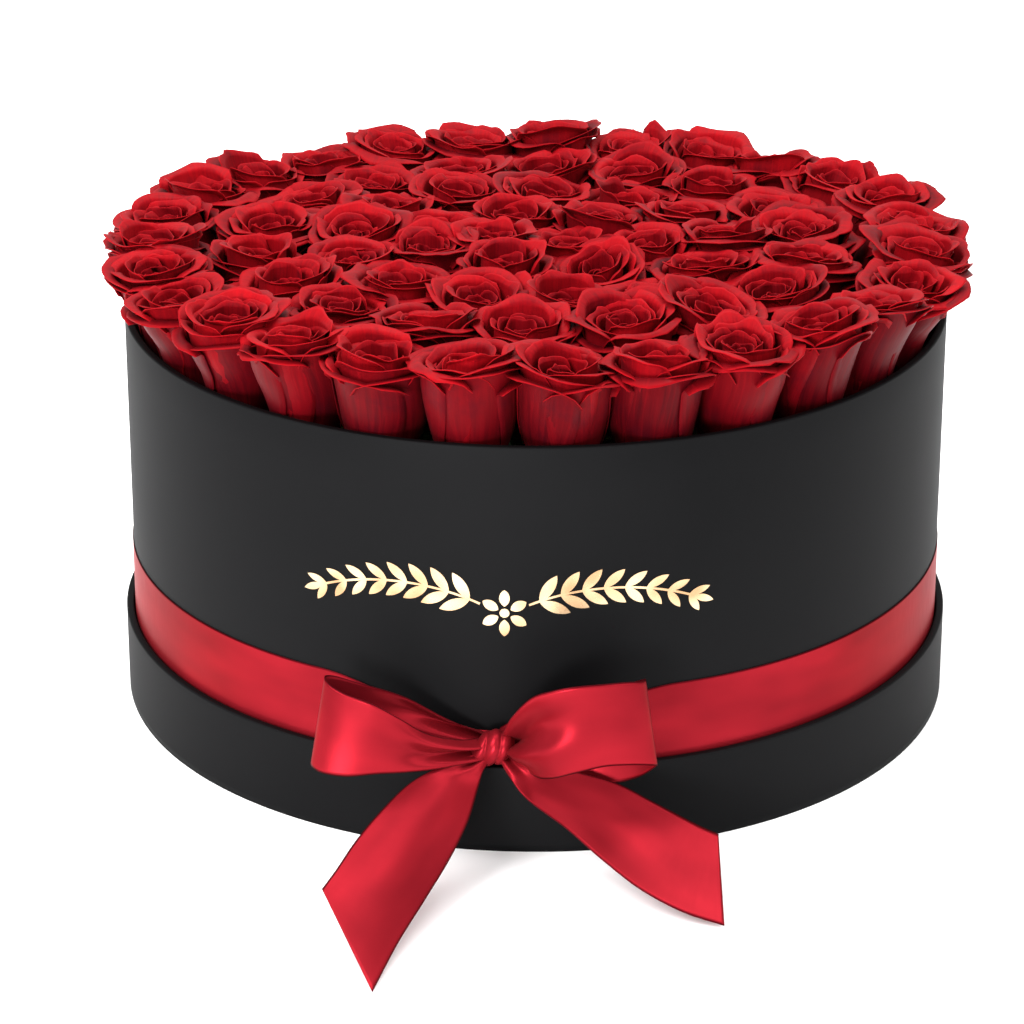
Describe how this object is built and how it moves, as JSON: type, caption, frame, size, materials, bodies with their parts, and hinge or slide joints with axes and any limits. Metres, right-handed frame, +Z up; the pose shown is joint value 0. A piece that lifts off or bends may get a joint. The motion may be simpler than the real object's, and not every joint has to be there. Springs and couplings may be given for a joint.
{
  "type": "flower box",
  "caption": "Round black gift box of preserved red roses, standing in its own lid, with a red satin ribbon and bow.",
  "frame": {"origin": "centre of the underside of the lid that serves as a tray, where it stands", "axes": "+Z up along the box's axis; the front with the foil garland and the bow faces -Y"},
  "size_m": [0.4398, 0.5728, 0.243],
  "materials": {
    "black_paper": "matte",
    "greyboard": "matte",
    "gold_foil": "polished",
    "satin": "satin",
    "riser_foam": "matte",
    "floral_foam": "matte",
    "petals": "satin",
    "sepals": "matte",
    "stems": "matte"
  },
  "bodies": {
    "tray": {"tray_underside_paper": "black_paper", "tray_panel_board": "greyboard", "tray_floor_lining": "black_paper", "tray_band_board": "greyboard", "tray_band_wrap": "black_paper"},
    "box": {"box_underside_paper": "black_paper", "box_floor_board": "greyboard", "box_floor_lining": "black_paper", "box_wall_board": "greyboard", "box_outer_cover": "black_paper", "box_wall_lining": "black_paper", "foil_garland": "gold_foil", "ribbon_band": "satin", "bow_knot": "satin", "bow_loop_left": "satin", "bow_loop_right": "satin", "bow_tail_left": "satin", "bow_tail_right": "satin"},
    "insert": {"riser_block": "riser_foam", "foam_disc": "floral_foam", "ring_1_heads": "petals", "ring_1_calyxes": "sepals", "ring_1_stems": "stems", "ring_2_heads": "petals", "ring_2_calyxes": "sepals", "ring_2_stems": "stems", "ring_3_heads": "petals", "ring_3_calyxes": "sepals", "ring_3_stems": "stems", "ring_4_heads": "petals", "ring_4_calyxes": "sepals", "ring_4_stems": "stems", "middle_rose_head": "petals", "middle_rose_calyx": "sepals", "middle_rose_stem": "stems"},
    "lift_out_rose": {"lift_out_rose_head": "petals", "lift_out_rose_calyx": "sepals", "lift_out_rose_stem": "stems"}
  },
  "joints": [
    {"name": "box_lift", "type": "slide", "parent": "tray", "child": "box", "axis": [0, 0, 1], "range_m": [0, 0.12]},
    {"name": "insert_lift", "type": "slide", "parent": "box", "child": "insert", "axis": [0, 0, 1], "range_m": [0, 0.22]},
    {"name": "rose_pull", "type": "slide", "parent": "insert", "child": "lift_out_rose", "axis": [0, 0, 1], "range_m": [0, 0.12]}
  ]
}
